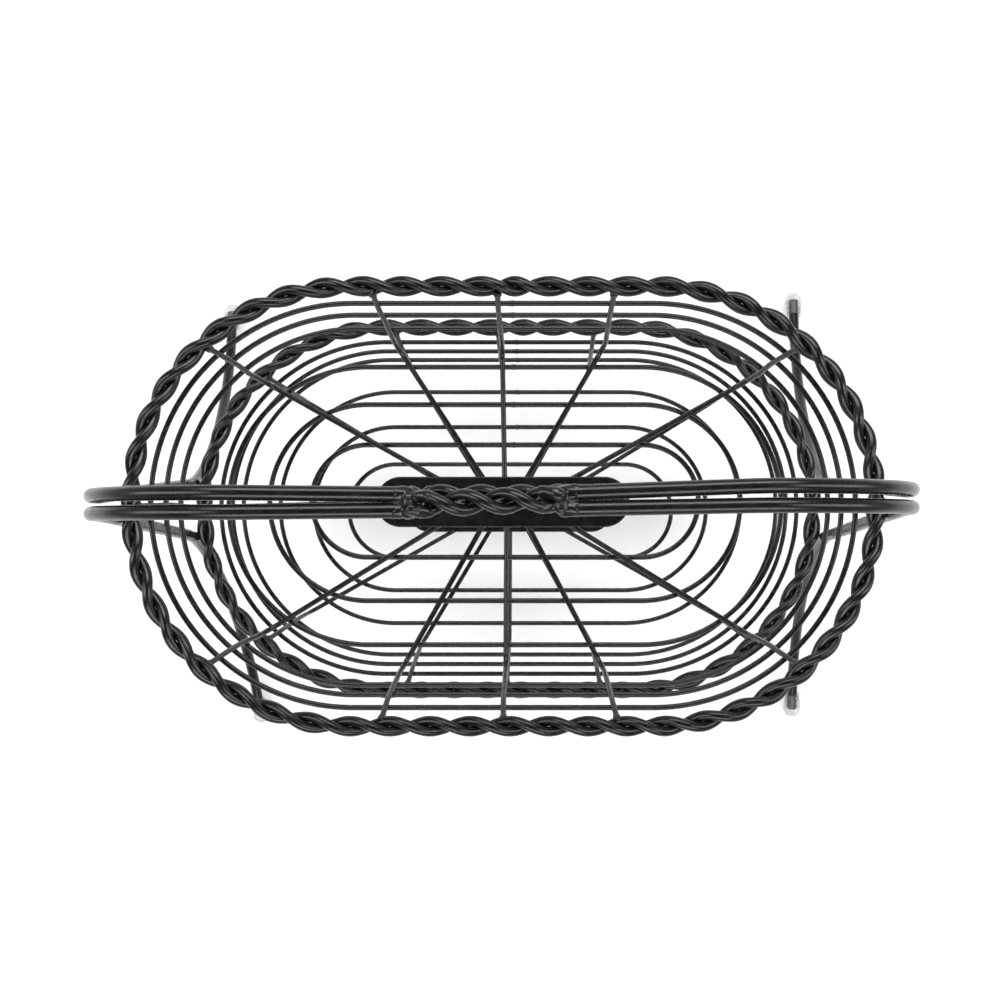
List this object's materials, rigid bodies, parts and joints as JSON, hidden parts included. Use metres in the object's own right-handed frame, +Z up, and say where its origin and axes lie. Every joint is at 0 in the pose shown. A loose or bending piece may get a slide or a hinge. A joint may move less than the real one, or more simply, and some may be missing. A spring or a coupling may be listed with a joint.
{
  "type": "tiered wire produce basket",
  "caption": "Tiered oval wire baskets with twisted rims, carried on bent rods that form the rope-twist handle and the splayed legs with clear end caps.",
  "frame": {"origin": "on the table, under the middle of the stand", "axes": "+Z up, +X along the baskets to the right, +Y towards the rear"},
  "size_m": [0.4101, 0.3056, 0.4328],
  "materials": {
    "black_powder_coat": "satin black powder coat on steel wire",
    "clear_vinyl": "clear soft vinyl, slightly cloudy"
  },
  "bodies": {
    "root": {"upper_rim_strand_a": "black_powder_coat", "upper_rim_strand_b": "black_powder_coat", "upper_side_ring_1": "black_powder_coat", "upper_side_ring_2": "black_powder_coat", "upper_side_ring_3": "black_powder_coat", "upper_floor_ring_1": "black_powder_coat", "upper_floor_ring_2": "black_powder_coat", "upper_floor_ring_3": "black_powder_coat", "upper_rib_rear_middle": "black_powder_coat", "upper_rib_rear_left": "black_powder_coat", "upper_rib_rear_left_corner": "black_powder_coat", "upper_rib_rear_right": "black_powder_coat", "upper_rib_rear_right_corner": "black_powder_coat", "upper_rib_front_middle": "black_powder_coat", "upper_rib_front_left": "black_powder_coat", "upper_rib_front_left_corner": "black_powder_coat", "upper_rib_front_right": "black_powder_coat", "upper_rib_front_right_corner": "black_powder_coat", "upper_rib_left_end": "black_powder_coat", "upper_rib_right_end": "black_powder_coat", "upper_floor_plate": "black_powder_coat", "lower_rim_strand_a": "black_powder_coat", "lower_rim_strand_b": "black_powder_coat", "lower_side_ring_1": "black_powder_coat", "lower_side_ring_2": "black_powder_coat", "lower_side_ring_3": "black_powder_coat", "lower_floor_ring_1": "black_powder_coat", "lower_floor_ring_2": "black_powder_coat", "lower_floor_ring_3": "black_powder_coat", "lower_rib_rear_middle": "black_powder_coat", "lower_rib_rear_left": "black_powder_coat", "lower_rib_rear_left_corner": "black_powder_coat", "lower_rib_rear_right": "black_powder_coat", "lower_rib_rear_right_corner": "black_powder_coat", "lower_rib_front_middle": "black_powder_coat", "lower_rib_front_left": "black_powder_coat", "lower_rib_front_left_corner": "black_powder_coat", "lower_rib_front_right": "black_powder_coat", "lower_rib_front_right_corner": "black_powder_coat", "lower_rib_left_end": "black_powder_coat", "lower_rib_right_end": "black_powder_coat", "lower_floor_plate": "black_powder_coat", "rod_rear_left": "black_powder_coat", "rod_rear_right": "black_powder_coat", "rod_front_left": "black_powder_coat", "rod_front_right": "black_powder_coat", "grip_upper_strand_a": "black_powder_coat", "grip_upper_strand_b": "black_powder_coat", "grip_lower_strand_a": "black_powder_coat", "grip_lower_strand_b": "black_powder_coat", "grip_weld_left": "black_powder_coat", "grip_weld_right": "black_powder_coat", "foot_cap_rear_left": "clear_vinyl", "foot_cap_rear_right": "clear_vinyl", "foot_cap_front_left": "clear_vinyl", "foot_cap_front_right": "clear_vinyl"}
  },
  "joints": []
}
